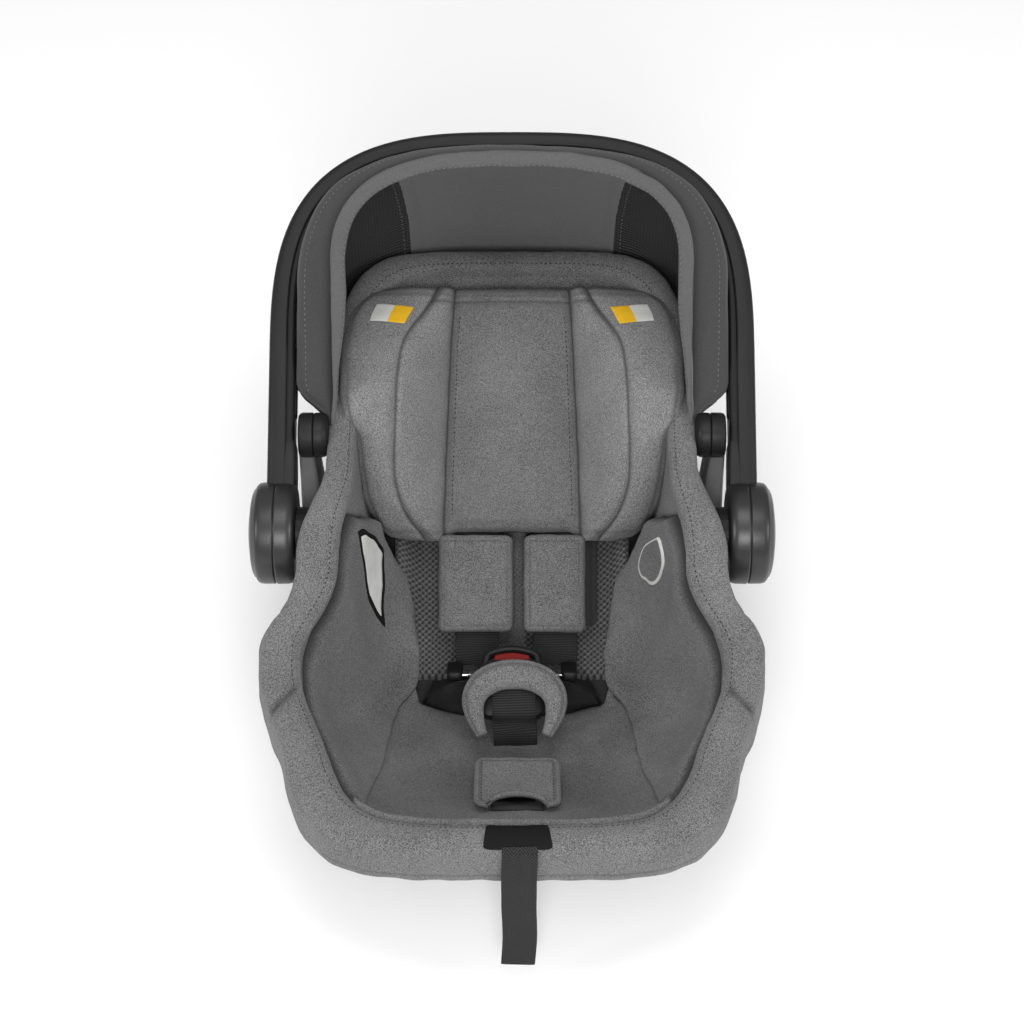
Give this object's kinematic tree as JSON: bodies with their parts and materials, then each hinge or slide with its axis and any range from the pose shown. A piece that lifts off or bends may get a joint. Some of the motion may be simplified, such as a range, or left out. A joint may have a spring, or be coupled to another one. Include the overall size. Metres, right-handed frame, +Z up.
{
  "type": "infant car seat",
  "caption": "Rear-facing infant carrier with a swinging carry handle, folding canopy, sliding headrest and buckled harness.",
  "frame": {"origin": "middle of the bounding box, on the plane that the two runners stand on", "axes": "+Z up, +Y towards the head end, -Y towards the foot end, +X towards the seat's left-hand side seen from the foot end looking in, which is the picture's right"},
  "size_m": [0.44, 0.5982, 0.4868],
  "materials": {
    "charcoal_plastic": "satin charcoal moulded plastic",
    "black_plastic": "fine-grained black moulded plastic",
    "grey_plastic": "satin mid-grey moulded plastic",
    "soft_grip": "matt soft-touch overmould",
    "foam": "beaded energy-absorbing foam",
    "melange_fabric": "heathered mid-grey woven fabric",
    "canopy_fabric": "plain dark grey canopy cloth",
    "knit_mesh": "dark grey open spacer knit",
    "webbing": "black ribbed harness webbing",
    "red_plastic": "red moulded button",
    "steel": "plated steel"
  },
  "bodies": {
    "root": {"outer_shell": "charcoal_plastic", "foam_liner": "foam", "runner_left": "black_plastic", "runner_right": "black_plastic", "front_latch_bar": "steel", "rear_latch_bar": "steel", "release_bracket": "black_plastic", "hub_boss_left": "black_plastic", "hub_boss_right": "black_plastic", "lock_gear_left": "steel", "lock_gear_right": "steel", "pivot_bolt_left": "steel", "pivot_bolt_right": "steel", "canopy_post_left": "grey_plastic", "canopy_post_right": "grey_plastic", "canopy_rear_panel": "canopy_fabric", "cover_rim": "melange_fabric", "side_bolster_left": "melange_fabric", "side_bolster_right": "melange_fabric", "seat_pan_pad": "melange_fabric", "back_pad": "knit_mesh", "adjuster_flap": "melange_fabric", "shoulder_strap_left": "webbing", "shoulder_strap_right": "webbing", "shoulder_pad_left": "melange_fabric", "shoulder_pad_right": "melange_fabric", "hip_strap_left": "webbing", "hip_strap_right": "webbing", "tongue_left": "steel", "tongue_right": "steel", "buckle_body": "black_plastic", "crotch_strap": "webbing", "crotch_pad": "melange_fabric", "adjuster_housing": "black_plastic", "adjuster_tail": "webbing", "harness_splitter": "steel"},
    "handle": {"handle_frame": "charcoal_plastic", "handle_cover_left": "black_plastic", "handle_cover_right": "black_plastic", "handle_grip": "soft_grip", "hub_cap_left": "charcoal_plastic", "hub_cap_right": "charcoal_plastic", "button_spring_left": "steel", "button_spring_right": "steel"},
    "left_button": {"handle_button_left": "grey_plastic"},
    "right_button": {"handle_button_right": "grey_plastic"},
    "canopy_mid": {"canopy_mid_bow": "black_plastic", "canopy_mid_panel": "canopy_fabric"},
    "canopy_front": {"canopy_front_bow": "black_plastic", "canopy_front_panel": "canopy_fabric", "canopy_hub_left": "charcoal_plastic", "canopy_hub_right": "charcoal_plastic"},
    "headrest": {"headrest_shell": "black_plastic", "headrest_centre_pad": "melange_fabric", "headrest_wing_left": "melange_fabric", "headrest_wing_right": "melange_fabric"},
    "headrest_lever": {"headrest_lever": "grey_plastic"},
    "buckle_button": {"buckle_button": "red_plastic"},
    "adjuster_lever": {"adjuster_lever": "grey_plastic"},
    "release_lever": {"release_lever": "charcoal_plastic"}
  },
  "joints": [
    {"name": "handle_hinge", "type": "hinge", "parent": "root", "child": "handle", "pos_m": [0, -0.007, 0.235], "axis": [1, 0, 0], "range_deg": [-52, 58]},
    {"name": "left_button_press", "type": "slide", "parent": "handle", "child": "left_button", "axis": [1, 0, 0], "range_m": [0, 0.006], "stiffness_N_per_m": 350, "springref_m": -0.004},
    {"name": "right_button_press", "type": "slide", "parent": "handle", "child": "right_button", "axis": [-1, 0, 0], "range_m": [0, 0.006], "stiffness_N_per_m": 350, "springref_m": -0.004},
    {"name": "canopy_mid_hinge", "type": "hinge", "parent": "root", "child": "canopy_mid", "pos_m": [0, 0.0636, 0.28], "axis": [1, 0, 0], "range_deg": [-16, 23]},
    {"name": "canopy_front_hinge", "type": "hinge", "parent": "canopy_mid", "child": "canopy_front", "pos_m": [0, 0.0636, 0.28], "axis": [1, 0, 0], "range_deg": [-16, 23]},
    {"name": "headrest_slide", "type": "slide", "parent": "root", "child": "headrest", "axis": [0, 0.7771, 0.6293], "range_m": [0, 0.06]},
    {"name": "headrest_lever_pull", "type": "slide", "parent": "headrest", "child": "headrest_lever", "axis": [0, 0.7771, 0.6293], "range_m": [0, 0.006], "stiffness_N_per_m": 350, "springref_m": -0.004},
    {"name": "buckle_button_press", "type": "slide", "parent": "root", "child": "buckle_button", "axis": [0, -0.9063, -0.4226], "range_m": [0, 0.005], "stiffness_N_per_m": 350, "springref_m": -0.004},
    {"name": "adjuster_lever_lift", "type": "hinge", "parent": "root", "child": "adjuster_lever", "pos_m": [0, -0.16229, 0.11408], "axis": [-1, 0, 0], "range_deg": [0, 8], "stiffness_Nm_per_rad": 0.2, "springref_deg": -11.46},
    {"name": "release_lever_squeeze", "type": "hinge", "parent": "root", "child": "release_lever", "pos_m": [0, 0.268, 0.172], "axis": [1, 0, 0], "range_deg": [0, 15], "stiffness_Nm_per_rad": 0.6, "springref_deg": -17.19}
  ],
  "couplings": [
    {"joint": "canopy_front_hinge", "follows": "canopy_mid_hinge", "ratio": 1}
  ]
}
